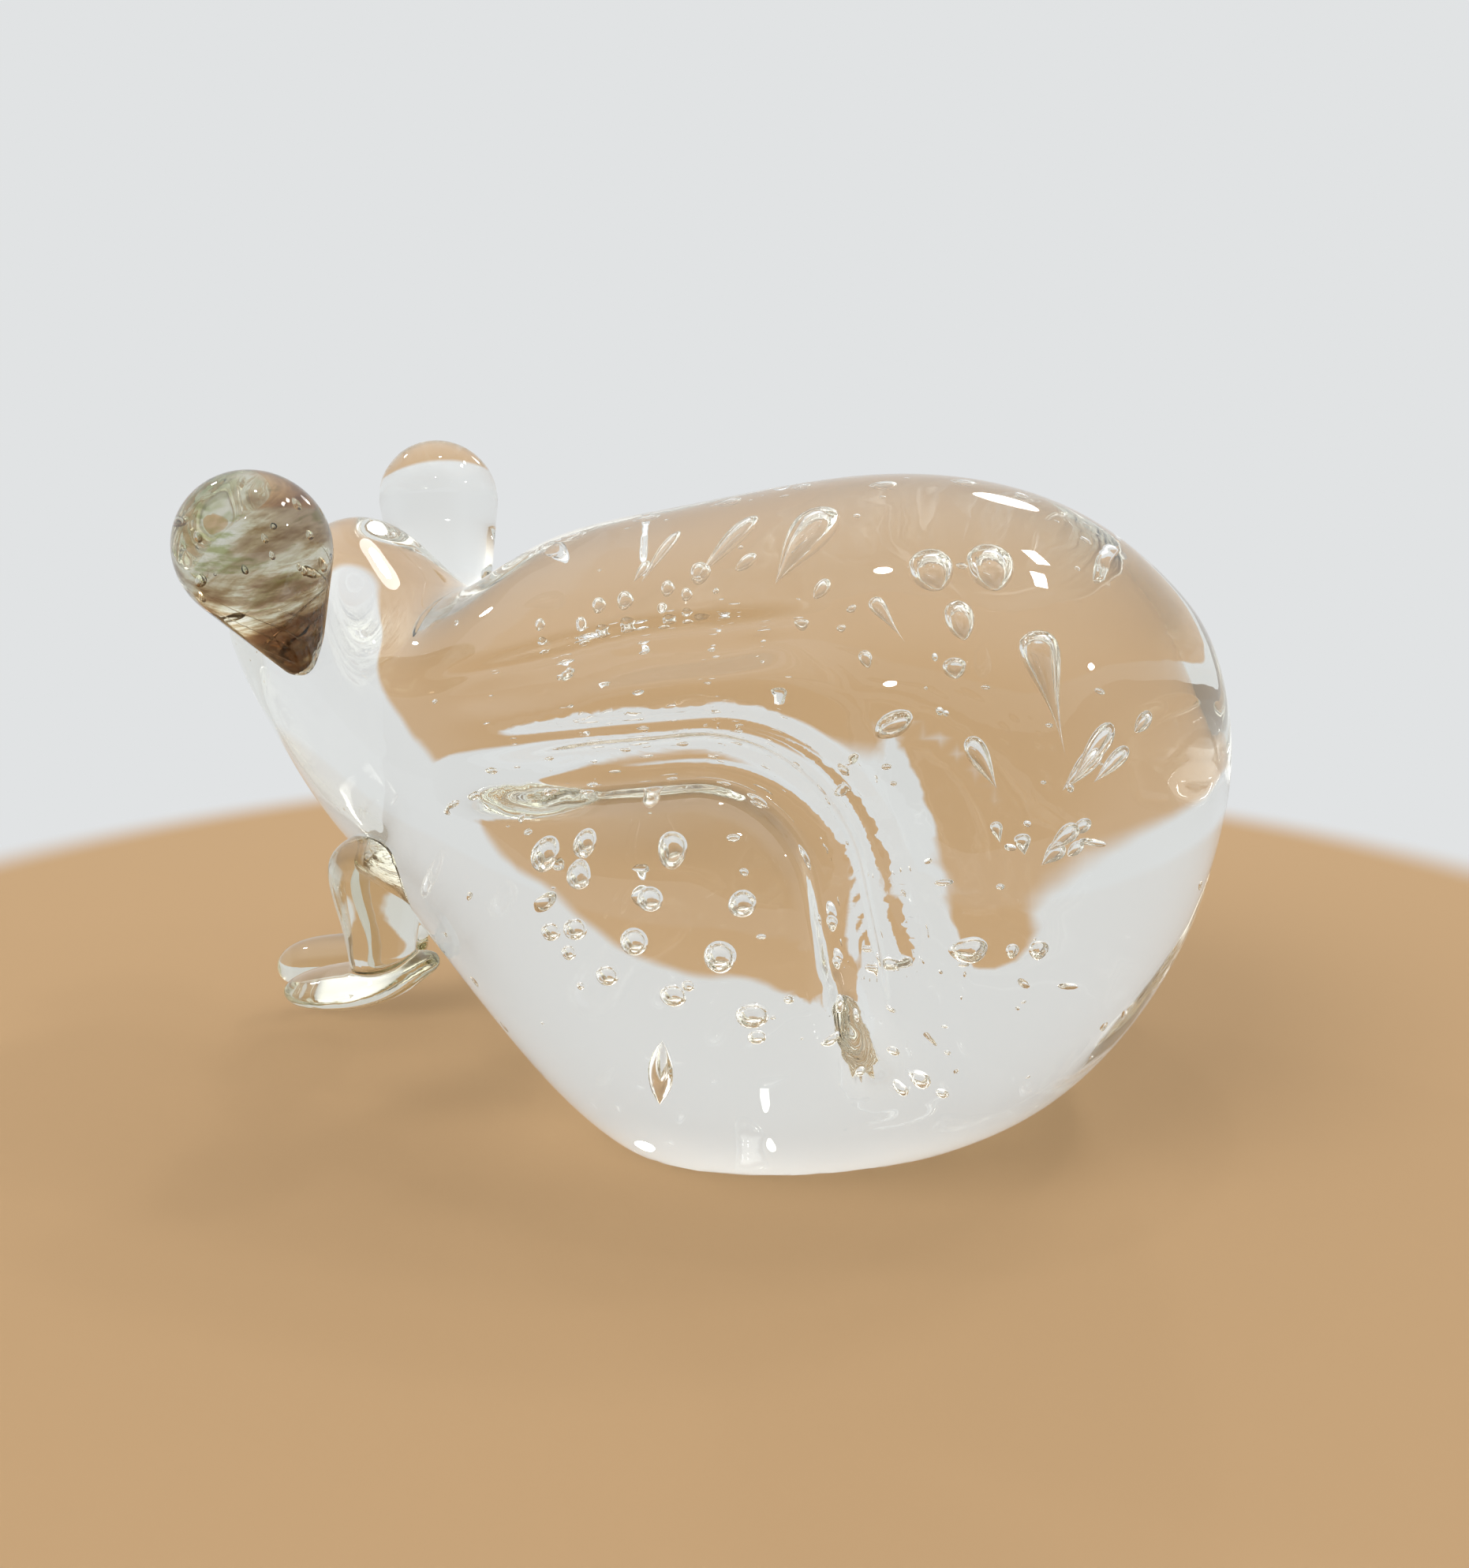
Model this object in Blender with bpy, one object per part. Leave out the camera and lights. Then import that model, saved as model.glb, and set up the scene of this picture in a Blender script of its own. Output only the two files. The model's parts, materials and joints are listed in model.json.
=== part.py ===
"""Frog paperweight of solid clear glass, worked hot by hand.

The frog looks along -Y, its left side is +X and it rests on Z = 0. A first gather of glass, pressed in
a spiked mould, is covered by a second gather that traps a bubble of air over each pit. The second
gather is drawn out into the neck and head, and an L-shaped crease is pressed in each flank for the
haunch. Two eyes and two forelegs are separate gobs of glass, put on hot. The foot of the body is
ground flat. Each piece is its own object, with a clearance where it meets its neighbour.
"""

import math

import bmesh
import bpy
import numpy as np
from mathutils import Matrix, Vector
from mathutils.bvhtree import BVHTree

MM = 0.001

# Gap between two pieces that touch, and how far a cutter runs past what it cuts
CLEARANCE = 0.3 * MM
OVERCUT = 6 * MM
SLAB_REACH = 200 * MM

# Body: the ends of its cage along Y, the heights of its back and of the crown of its head, its half width
# over the haunches, and how low the round gob reaches before its foot is ground off, all in millimetres
RUMP = 53.5
SNOUT = -54.5
BACK = 73.5
CROWN = 69.5
HALF_WIDTH = 41
KEEL = -13
# Rings of the cage from the rump to the snout: place along Y, height of the underside, height of the
# back, half width, and how far the ring is squared up. The smooth body lies just inside the cage.
BODY_RINGS = (
    (RUMP, 25, BACK - 19.5, 14, 0),
    (RUMP - 3.5, 14.5, BACK - 14, 22.5, 0),
    (RUMP - 15.5, KEEL + 11, BACK - 3.5, HALF_WIDTH - 5, 0),
    (18, KEEL + 3.5, BACK, HALF_WIDTH, 0),
    (-5.5, KEEL, BACK - 5.5, HALF_WIDTH - 1, 0),
    (-21.5, 6.5, BACK - 8.5, HALF_WIDTH - 9, 0.06),
    (SNOUT + 21.5, 25, 53, 25, 0.14),
    (SNOUT + 13.5, 27.5, CROWN, 21, 0.08),
    (SNOUT + 5.5, 39, CROWN - 7.5, 16, 0),
    (SNOUT, 48.5, 57.5, 9, 0),
)
BODY_END_BULGE = 3 * MM

# Second gather: how thick it lies over the first, and at least under it, above the ground foot. The
# first gather follows the body's rings from the rump to the neck, where its tip was drawn out with it.
OUTER_LAYER = 9 * MM
FOOT_LAYER = 6 * MM
INNER_RINGS = (1, 2, 3, 4, 5, 6)
INNER_END_BULGE = 5 * MM
# Stem of the first gather, cut off the iron and ground flush with the foot
STEM_PLACE = 9 * MM
STEM_FOOT_RADIUS = 8 * MM
STEM_TOP_RADIUS = 12 * MM
STEM_HEIGHT = 24 * MM
STEM_SIDES = 32

# Pits that the spiked mould presses in the first gather
PIT_RADIUS = 1.7 * MM
PIT_TIP_RADIUS = 0.4 * MM
PIT_DEPTH = 2.6 * MM
PIT_SIDES = 6
PIT_ROW_ANGLES = (-30, -12, 6, 24, 42, 60, 78)
PIT_PITCH = 9 * MM
PIT_FIRST_PLACE = -19 * MM
PIT_COLUMNS = 7

# Cross sections of a tool's mark: distance from its middle in mm, and share of its depth
BROAD = ((0, 1), (2, 0.92), (4, 0.64), (6, 0.3), (8, 0.08), (10, 0))
NARROW = ((0, 1), (1, 0.92), (1.9, 0.5), (2.7, 0.2), (3.6, 0.07), (4.6, 0))
SOFT = ((0, 1), (1.1, 0.97), (3.2, 0.42), (3.8, 0.32), (6, 0.12), (9, 0))
# Creases: flank, section, depth, front end, knee and rear end as (place, height), and the radius round
# the knee, in mm. The left haunch was pressed broadly and then sharply under that, and a soft fold runs
# from the neck along the left shoulder. The frog was rolled to its right when its foot was ground, so the
# crease of its right haunch lies lower.
CREASES = (
    (1, BROAD, 3, (-22.5, 43), (14.2, 47.8), (21, 12), 15),
    (1, NARROW, 2.4, (-26, 41.4), (12.6, 46.8), (19.4, 13), 13),
    (1, SOFT, 1.2, (-32, 47.5), (-4, 55), (14, 57.5), 60),
    (-1, SOFT, 1, (-31, 27), (25, 27), (23, 14), 6),
)
# Points along each part of a crease, and how many of them it runs out over at each end
CREASE_STEPS = 36
CREASE_RUN_OUT = 27

# Eyes: radius of the ball, distance from its middle to the middle of the neck, radius of the neck, how
# far the neck's middle stands off the side of the head, place and height of it, and the lean of the
# eye to the side and to the rear in degrees
EYES = {
    "left_eye": (7.7 * MM, 12 * MM, 2.3 * MM, 0.3 * MM, (SNOUT + 12.9) * MM, (CROWN - 16.7) * MM, 20.5, -10),
    "right_eye": (7.7 * MM, 11 * MM, 6.2 * MM, 3 * MM, (SNOUT + 15) * MM, (CROWN - 13) * MM, -27, -9),
}
EYE_SEGMENTS = 24
EYE_BALL_STEPS = 9
EYE_NECK_STEPS = 3
# Points closer than this are made one where a spun shape closes
MERGE_DISTANCE = 0.01 * MM

# Forelegs: distance from the middle plane and height of the root on the chest, then the shank and the
# foot as rings of (sideways, along Y, height, half width, half thickness), in mm from the root
LEFT_LEG_ROOT = (21 * MM, 30 * MM)
LEFT_SHANK = (
    (-1.5, 5.5, 5, 4.2, 4.4),
    (0, 0.2, 3, 4.8, 5.6),
    (0, 0, -1, 4.9, 5.8),
    (0.2, -0.1, -6.8, 4, 3.7),
    (0.2, -0.1, -10.8, 3.8, 3.7),
)
LEFT_FOOT = (
    (0, 5, -10.2, 2.8, 1.2),
    (0, 2.6, -11.4, 4.4, 2.2),
    (0.2, -2.1, -12.8, 5, 2.4),
    (0.4, -7.6, -13.3, 4.8, 2),
    (0.5, -10, -13.4, 3, 1.2),
)
RIGHT_LEG_ROOT = (-17 * MM, 27 * MM)
RIGHT_SHANK = (
    (0, 6, 4, 4.2, 4.2),
    (0.8, -1, 0.5, 4.8, 4.6),
    (2.6, -6, -5, 4.3, 4.2),
    (4.6, -8.8, -11.2, 3.7, 3.7),
    (5.5, -9.6, -16.2, 4, 4),
)
RIGHT_FOOT = (
    (6, -7.5, -17.3, 3, 1.8),
    (6.5, -11.5, -18.3, 4.6, 3),
    (7.2, -16.6, -19.3, 5, 3.5),
    (7.5, -22.1, -19.7, 4.8, 3.4),
    (7.5, -25, -19.9, 3.4, 2.3),
)
LEG_END_BULGE = 1.2 * MM

# Levels of subdivision, and triangles left on each piece when its faces are thinned out
SMOOTHING = 4
BODY_TRIANGLES = 6600
INNER_TRIANGLES = 1400
LEG_TRIANGLES = 420
FOOT_TRIANGLES = 320


def new_object(name, mesh):
    made = bpy.data.objects.new(name, mesh)
    bpy.context.scene.collection.objects.link(made)
    return made


def glass(name, colour, roughness):
    material = bpy.data.materials.new(name)
    material.use_nodes = True
    shader = material.node_tree.nodes["Principled BSDF"]
    shader.inputs["Base Color"].default_value = (*colour, 1)
    shader.inputs["Roughness"].default_value = roughness
    shader.inputs["Metallic"].default_value = 0
    shader.inputs["IOR"].default_value = 1.5
    shader.inputs["Transmission Weight"].default_value = 1
    return material


def as_helper(obj):
    obj.hide_render = True
    obj.display_type = "WIRE"
    return obj


def drawn_out(name, sides, rings, bulge):
    """A gob drawn out ring by ring: a disc of quads is extruded from ring to ring, then smoothed.

    A ring is (middle, direction, half width, half height, squared), and a disc has 4 * sides points round
    it. Squaring a ring up moves its slanting points outward, the most at 45 degrees.
    """
    bm = bmesh.new()
    bmesh.ops.create_grid(bm, x_segments=sides, y_segments=sides, size=1)
    spots = {}
    for vert in bm.verts:
        reach = max(abs(vert.co.x), abs(vert.co.y))
        turn = square_angle(vert.co.x, vert.co.y)
        spots[vert] = (reach * math.cos(turn), reach * math.sin(turn), 1 - reach * reach)

    def move_to(verts, ring, outward):
        middle, direction, half_width, half_height, squared = ring
        across = Vector((1, 0, 0))
        across = (across - direction * across.dot(direction)).normalized()
        up = across.cross(direction)
        for vert in verts:
            u, v, dome = spots[vert]
            fuller = 1 + squared * abs(math.sin(2 * math.atan2(v, u)))
            aside = across * (u * fuller * half_width) + up * (v * fuller * half_height)
            vert.co = middle + aside + direction * (dome * outward)

    move_to(list(bm.verts), rings[0], -bulge)
    first_disc = list(bm.faces)
    disc = first_disc
    for ring in rings[1:]:
        old_disc = disc
        old_spots = {tuple(vert.co): spots[vert] for face in disc for vert in face.verts}
        extruded = bmesh.ops.extrude_face_region(bm, geom=disc)["geom"]
        verts = [item for item in extruded if isinstance(item, bmesh.types.BMVert)]
        disc = [item for item in extruded if isinstance(item, bmesh.types.BMFace)]
        for vert in verts:
            spots[vert] = old_spots[tuple(vert.co)]
        if old_disc is not first_disc:
            bmesh.ops.delete(bm, geom=old_disc, context="FACES")
        move_to(verts, ring, bulge)
    bmesh.ops.recalc_face_normals(bm, faces=bm.faces)
    mesh = bpy.data.meshes.new(name)
    bm.to_mesh(mesh)
    bm.free()
    mesh.shade_smooth()
    made = new_object(name, mesh)
    smooth = made.modifiers.new("Smooth", "SUBSURF")
    smooth.levels = SMOOTHING
    smooth.render_levels = SMOOTHING
    return made


def thin_out(obj, triangles):
    """Leaves about this many triangles on a piece, closer together where it curves more."""
    bm = evaluated_bmesh(obj)
    count = sum(len(face.verts) - 2 for face in bm.faces)
    bm.free()
    fewer = obj.modifiers.new("Fewer faces", "DECIMATE")
    fewer.ratio = min(1, triangles / count)


def square_angle(x, y):
    """The angle on a circle of a point on a square, so that its points are spread evenly."""
    reach = max(abs(x), abs(y))
    if reach == 0:
        return 0
    quarter = math.pi / 4
    if abs(x) >= abs(y):
        return quarter * y / x + (math.pi if x < 0 else 0)
    return 2 * quarter - quarter * x / y + (math.pi if y < 0 else 0)


def cut(target, cutter, name, operation="DIFFERENCE"):
    boolean = target.modifiers.new(name, "BOOLEAN")
    boolean.object = cutter
    boolean.operation = operation
    boolean.solver = "EXACT"


def evaluated_bmesh(obj):
    graph = bpy.context.evaluated_depsgraph_get()
    mesh = bpy.data.meshes.new_from_object(obj.evaluated_get(graph))
    bm = bmesh.new()
    bm.from_mesh(mesh)
    bm.transform(obj.matrix_world)
    return bm


def solid_from(name, bm):
    mesh = bpy.data.meshes.new(name)
    bm.to_mesh(mesh)
    bm.free()
    mesh.shade_smooth()
    return new_object(name, mesh)


def grown(name, source, distance):
    """A copy of a piece, as it is now, with its surface moved outwards by a distance."""
    bm = evaluated_bmesh(source)
    bm.normal_update()
    moves = [(vert, vert.normal * distance) for vert in bm.verts]
    for vert, move in moves:
        vert.co += move
    return as_helper(solid_from(name, bm))


def surface_of(obj):
    bm = evaluated_bmesh(obj)
    tree = BVHTree.FromBMesh(bm)
    bm.free()
    return tree


def hit(tree, start, direction):
    return tree.ray_cast(start, direction)[0]


def body_rings(inset=0.0, chosen=None):
    """The body's rings, or those of the layer inside it, at a distance in from them."""
    rows = [([value * MM for value in row[:4]], row[4]) for row in BODY_RINGS]
    if chosen:
        rows = [rows[index] for index in chosen]
        rows[0][0][0] -= inset
    rings = []
    for (place, underside, back, half_width), squared in rows:
        low, high = underside + inset, back - inset
        if chosen:
            low = max(low, FOOT_LAYER)
        middle = Vector((0, place, (low + high) / 2))
        rings.append((middle, Vector((0, -1, 0)), half_width - inset, (high - low) / 2, squared))
    return rings


def slab_below(name, top, reach):
    bm = bmesh.new()
    bmesh.ops.create_cube(bm, size=1)
    bmesh.ops.scale(bm, vec=(2 * reach, 2 * reach, reach), verts=bm.verts)
    bmesh.ops.translate(bm, vec=(0, 0, top - reach / 2), verts=bm.verts)
    return as_helper(solid_from(name, bm))


def stem(name, extra, foot):
    """The tapered stem that joins the first gather to the ground foot."""
    bm = bmesh.new()
    height = STEM_HEIGHT - foot
    bmesh.ops.create_cone(
        bm,
        cap_ends=True,
        segments=STEM_SIDES,
        radius1=STEM_FOOT_RADIUS + extra,
        radius2=STEM_TOP_RADIUS + extra,
        depth=height,
    )
    bmesh.ops.translate(bm, vec=(0, STEM_PLACE, foot + height / 2), verts=bm.verts)
    return as_helper(solid_from(name, bm))


def crease_route(front, knee, end, knee_radius):
    """A crease in side view: its front run, an arc round the knee and its rear run."""
    front, knee, end = Vector(front) * MM, Vector(knee) * MM, Vector(end) * MM
    knee_radius *= MM
    towards_front = (front - knee).normalized()
    towards_end = (end - knee).normalized()
    half_angle = towards_front.angle(towards_end) / 2
    setback = knee_radius / math.tan(half_angle)
    middle = knee + (towards_front + towards_end).normalized() * (knee_radius / math.sin(half_angle))
    first = knee + towards_front * setback
    last = knee + towards_end * setback
    steps = range(CREASE_STEPS)
    sweep = (first - middle).angle_signed(last - middle)
    front_run = [front.lerp(first, step / CREASE_STEPS) for step in steps]
    arc = [middle + Matrix.Rotation(-sweep * step / CREASE_STEPS, 2) @ (first - middle) for step in steps]
    rear_run = [last.lerp(end, step / CREASE_STEPS) for step in range(CREASE_STEPS + 1)]
    return front_run + arc + rear_run


def press_creases(body):
    """Sinks the skin along the crease of each flank, with a round floor and round shoulders."""
    bm = evaluated_bmesh(body)
    for side, section, depth, *route in CREASES:
        skin = BVHTree.FromBMesh(bm)
        bm.normal_update()
        spots = np.array([vert.co for vert in bm.verts])
        sink = np.zeros(len(spots))
        offs, shares = np.array(section).T
        line = crease_route(*route)
        for index, point in enumerate(line):
            spot = hit(skin, Vector((0, *point)), Vector((side, 0, 0)))
            near = np.linalg.norm(spots - np.array(spot), axis=1)
            from_end = min(index, len(line) - 1 - index)
            ease = 0.5 - 0.5 * math.cos(math.pi * min(1, from_end / CREASE_RUN_OUT))
            press = depth * MM * ease * np.interp(near, offs * MM, shares)
            sink = np.maximum(sink, press)
        for vert, deep in zip(bm.verts, sink):
            vert.co -= vert.normal * float(deep)
    body.modifiers.clear()
    bm.to_mesh(body.data)
    bm.free()
    body.data.shade_smooth()


def pit_spikes(name, tree, middle_height):
    """The mould's spikes, in rows along the first gather, each square to its surface."""
    bm = bmesh.new()
    outside = PIT_DEPTH / 2
    for column in range(PIT_COLUMNS):
        for row, angle in enumerate(PIT_ROW_ANGLES):
            place = PIT_FIRST_PLACE + (column + 0.5 * (row % 2)) * PIT_PITCH
            for side in (-1, 1):
                turn = math.radians(angle)
                direction = Vector((side * math.cos(turn), 0, math.sin(turn)))
                skin = tree.ray_cast(Vector((0, place, middle_height)), direction)
                if skin[0] is None:
                    continue
                axis = skin[1]
                standing = axis.to_track_quat("Z", "Y").to_matrix().to_4x4()
                bmesh.ops.create_cone(
                    bm,
                    cap_ends=True,
                    segments=PIT_SIDES,
                    radius1=PIT_TIP_RADIUS,
                    radius2=PIT_RADIUS + (PIT_RADIUS - PIT_TIP_RADIUS) * outside / PIT_DEPTH,
                    depth=PIT_DEPTH + outside,
                    matrix=Matrix.Translation(skin[0] + axis * (outside - PIT_DEPTH) / 2) @ standing,
                )
    return as_helper(solid_from(name, bm))


def eye(name, tree, stays_clear_of):
    """A ball of glass whose lower side tapers to the round-ended neck that joins it to the head."""
    radius, standoff, neck, off_skin, place, height, lean, rearward = EYES[name]
    side = 1 if lean > 0 else -1
    seat = hit(tree, Vector((0, place, height)), Vector((side, 0, 0))) + Vector((side * off_skin, 0, 0))
    lean, rearward = math.radians(lean), math.radians(rearward)
    axis = Vector((math.sin(lean), math.sin(rearward), math.cos(lean) * math.cos(rearward))).normalized()
    # The straight taper touches both the ball and the round end of the neck
    leaves = math.pi / 2 + math.asin((radius - neck) / standoff)
    profile = []
    for step in range(EYE_BALL_STEPS + 1):
        angle = leaves * step / EYE_BALL_STEPS
        profile.append((radius * math.sin(angle), radius * math.cos(angle)))
    for step in range(EYE_NECK_STEPS + 1):
        angle = leaves + (math.pi - leaves) * step / EYE_NECK_STEPS
        profile.append((neck * math.sin(angle), neck * math.cos(angle) - standoff))
    bm = bmesh.new()
    line = [bm.verts.new((across, 0, along)) for across, along in profile]
    for one, two in zip(line, line[1:]):
        bm.edges.new((one, two))
    bmesh.ops.spin(
        bm,
        geom=bm.verts[:] + bm.edges[:],
        axis=(0, 0, 1),
        cent=(0, 0, 0),
        angle=2 * math.pi,
        steps=EYE_SEGMENTS,
    )
    bmesh.ops.remove_doubles(bm, verts=bm.verts, dist=MERGE_DISTANCE)
    bmesh.ops.recalc_face_normals(bm, faces=bm.faces)
    made = solid_from(name, bm)
    standing = axis.to_track_quat("Z", "Y").to_matrix().to_4x4()
    made.matrix_world = Matrix.Translation(seat + axis * standoff) @ standing
    cut(made, stays_clear_of, "Seat on the head")
    return made


def leg_rings(root, rows):
    middles = [root + Vector(row[:3]) * MM for row in rows]
    rings = []
    for index, row in enumerate(rows):
        before = middles[max(index - 1, 0)]
        after = middles[min(index + 1, len(rows) - 1)]
        rings.append((middles[index], (after - before).normalized(), row[3] * MM, row[4] * MM, 0))
    return rings


def foreleg(name, tree, root, shank_rows, foot_rows, stays_clear_of):
    """A shank drawn down from the chest, with its end pinched into a flat foot that points forward."""
    sideways, height = root
    seat = hit(tree, Vector((sideways, 0, height)), Vector((0, -1, 0)))
    made = drawn_out(name, 2, leg_rings(seat, shank_rows), LEG_END_BULGE)
    thin_out(made, LEG_TRIANGLES)
    foot = drawn_out(name + "_foot", 2, leg_rings(seat, foot_rows), LEG_END_BULGE)
    thin_out(foot, FOOT_TRIANGLES)
    cut(made, as_helper(foot), "Foot", "UNION")
    cut(made, stays_clear_of, "Seat on the chest")
    return made


def stand_on_origin(pieces):
    """Hangs everything on one empty, placed so that the origin lies under the middle of the frog."""
    lows, highs = [], []
    for piece in pieces:
        bm = evaluated_bmesh(piece)
        lows.append([min(vert.co[axis] for vert in bm.verts) for axis in range(3)])
        highs.append([max(vert.co[axis] for vert in bm.verts) for axis in range(3)])
        bm.free()
    low = [min(row[axis] for row in lows) for axis in range(3)]
    high = [max(row[axis] for row in highs) for axis in range(3)]
    everything = list(bpy.context.scene.collection.objects)
    stand = new_object("stand_point", None)
    stand.location = (-(low[0] + high[0]) / 2, -(low[1] + high[1]) / 2, -low[2])
    for obj in everything:
        obj.parent = stand


def build():
    for obj in list(bpy.data.objects):
        bpy.data.objects.remove(obj)
    clear = glass("Clear glass", (0.86, 0.88, 0.84), 0.02)
    core = glass("Clear glass of the first gather", (0.80, 0.84, 0.80), 0.02)
    tinted = glass("Clear glass, thick", (0.62, 0.62, 0.50), 0.02)

    body = drawn_out("body_casing", 4, body_rings(), BODY_END_BULGE)
    press_creases(body)
    thin_out(body, BODY_TRIANGLES)
    skin = surface_of(body)
    keep_clear = grown("body_and_clearance", body, CLEARANCE)

    inner_rings = body_rings(OUTER_LAYER, INNER_RINGS)
    inner = drawn_out("inner_gather", 4, inner_rings, INNER_END_BULGE)
    thin_out(inner, INNER_TRIANGLES)
    inner_skin = surface_of(inner)
    inner_middle = inner_rings[len(inner_rings) // 2][0].z
    cavity = grown("cavity", inner, CLEARANCE)
    cut(cavity, stem("stem_and_clearance", CLEARANCE, -OVERCUT), "Stem", "UNION")
    cut(inner, stem("stem", 0, 0), "Stem", "UNION")
    cut(inner, pit_spikes("spikes", inner_skin, inner_middle), "Pits")

    cut(body, slab_below("grinding_plane", 0, SLAB_REACH), "Ground foot")
    cut(body, cavity, "Room for the first gather")

    glasses = (
        (body, clear),
        (inner, core),
        (eye("left_eye", skin, keep_clear), tinted),
        (eye("right_eye", skin, keep_clear), tinted),
        (foreleg("left_foreleg", skin, LEFT_LEG_ROOT, LEFT_SHANK, LEFT_FOOT, keep_clear), clear),
        (foreleg("right_foreleg", skin, RIGHT_LEG_ROOT, RIGHT_SHANK, RIGHT_FOOT, keep_clear), clear),
    )
    for piece, material in glasses:
        piece.data.materials.clear()
        piece.data.materials.append(material)
    stand_on_origin([piece for piece, _ in glasses])


build()
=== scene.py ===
"""Looks of the frog paperweight of solid clear glass, worked hot by hand.

The glass is modelled the way it is worked: gobs are drawn out ring by ring, the haunches are creased
with a round tool, the foot is ground flat, and the air that the spiked mould trapped lies under the
second gather. Lengths in the tables are in millimetres.
"""

import json
import math
import random

import bmesh
import bpy
import numpy as np
from mathutils import Matrix, Vector
from mathutils.bvhtree import BVHTree
from mathutils.kdtree import KDTree

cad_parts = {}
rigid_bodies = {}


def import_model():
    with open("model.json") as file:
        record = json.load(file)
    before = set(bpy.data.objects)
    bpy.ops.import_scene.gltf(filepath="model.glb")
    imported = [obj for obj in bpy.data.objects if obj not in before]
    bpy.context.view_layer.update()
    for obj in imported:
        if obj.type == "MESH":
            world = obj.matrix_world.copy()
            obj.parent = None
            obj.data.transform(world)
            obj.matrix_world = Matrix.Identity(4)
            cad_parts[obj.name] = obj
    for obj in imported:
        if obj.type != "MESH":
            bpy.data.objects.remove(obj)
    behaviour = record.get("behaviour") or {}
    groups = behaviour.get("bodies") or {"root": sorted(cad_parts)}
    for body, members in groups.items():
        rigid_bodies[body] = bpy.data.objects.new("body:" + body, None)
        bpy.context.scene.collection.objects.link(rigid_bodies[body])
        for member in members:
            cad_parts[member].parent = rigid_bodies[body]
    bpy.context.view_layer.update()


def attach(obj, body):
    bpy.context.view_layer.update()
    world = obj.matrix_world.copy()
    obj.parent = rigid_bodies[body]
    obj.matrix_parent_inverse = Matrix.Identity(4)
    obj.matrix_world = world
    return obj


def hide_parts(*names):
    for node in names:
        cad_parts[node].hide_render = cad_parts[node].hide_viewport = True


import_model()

MM = 0.001

# The tables count from the middle of the body's cage; the frog is then moved to stand as the CAD does
STAND = Vector((-0.07, 1.74, 0))
# Height of the middle of the body, from which the skin is looked for
BODY_MIDDLE = 33

# Body from the rump to the snout: place along Y, underside, back, half width, and how far the ring is
# squared up from a round, as a share of its radius
BODY_RINGS = (
    (53.5, 25, 54, 14, 0),
    (50, 14.5, 59.5, 22.5, 0),
    (38, -2, 70, 36, 0),
    (18, -9.5, 73.5, 41, 0),
    (-5.5, -13, 68, 40, 0),
    (-21.5, 6.5, 65, 32, 0.06),
    (-33, 25, 53, 25, 0.14),
    (-41, 27.5, 69.5, 21, 0.08),
    (-49, 39, 62, 16, 0),
    (-54.5, 48.5, 57.5, 9, 0),
)
BODY_END_BULGE = 3
BODY_SIDES = 4
BODY_LEVELS = 4
# The ground foot's edge is taken off this far, and what turns by less than this many degrees is smooth
FOOT_BEVEL = 0.35
SMOOTH_BELOW = 40

# Eyes: radius, distance from the ball's middle to the neck's, neck radius, how far the neck stands off
# the head, place, height, lean to the side and to the rear in degrees
LEFT_EYE = (7.7, 12, 2.3, 0.3, -41.6, 52.8, 20.5, -10)
RIGHT_EYE = (7.7, 11, 6.2, 3, -39.5, 56.5, -27, -9)
# Points along an eye's ball, its taper and the round end of its neck, and sides round it
BALL_STEPS = 28
TAPER_STEPS = 8
NECK_STEPS = 12
EYE_SIDES = 72
# How far the eyes and forelegs are sunk into the skin, so that they are fused to it
SEAT_DEPTH = 0.35

# The near eye's stained sheet: how far under the surface it lies, how far round it is twisted, in
# radians, and how tall its pattern is against its width
STAIN_DEPTH = 1.1
STAIN_TWIST = 2.2
STAIN_RISE = 2.4
# Air in the near eye: threads, the points along each and how far round they turn in degrees, and seeds
EYE_THREADS = 12
THREAD_STEPS = 14
THREAD_TURN = 110
EYE_SEEDS = 22

# Forelegs, as rings of (sideways, along Y, height, half width, half thickness) from the root's seat
LEFT_ROOT = (21, 30)
LEFT_SHANK = (
    (-1.5, 5.5, 5, 4.2, 4.4),
    (0, 0.2, 3, 4.8, 5.6),
    (0, 0, -1, 4.9, 5.8),
    (0.2, -0.1, -6.8, 4, 3.7),
    (0.2, -0.1, -10.8, 3.8, 3.7),
)
LEFT_FOOT = (
    (0, 5, -10.2, 2.8, 1.2),
    (0, 2.6, -11.4, 4.4, 2.2),
    (0.2, -2.1, -12.8, 5, 2.4),
    (0.4, -7.6, -13.3, 4.8, 2),
    (0.5, -10, -13.4, 3, 1.2),
)
RIGHT_ROOT = (-17, 27)
RIGHT_SHANK = (
    (0, 6, 4, 4.2, 4.2),
    (0.8, -1, 0.5, 4.8, 4.6),
    (2.6, -6, -5, 4.3, 4.2),
    (4.6, -8.8, -11.2, 3.7, 3.7),
    (5.5, -9.6, -16.2, 4, 4),
)
RIGHT_FOOT = (
    (6, -7.5, -17.3, 3, 1.8),
    (6.5, -11.5, -18.3, 4.6, 3),
    (7.2, -16.6, -19.3, 5, 3.5),
    (7.5, -22.1, -19.7, 4.8, 3.4),
    (7.5, -25, -19.9, 3.4, 2.3),
)
LEG_END_BULGE = 1.2
LEG_SIDES = 4
LEG_LEVELS = 3
# Foot and shank are melted together at this grain and then relaxed this many times
LEG_GRAIN = 0.22
LEG_RELAXED = 14

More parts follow.
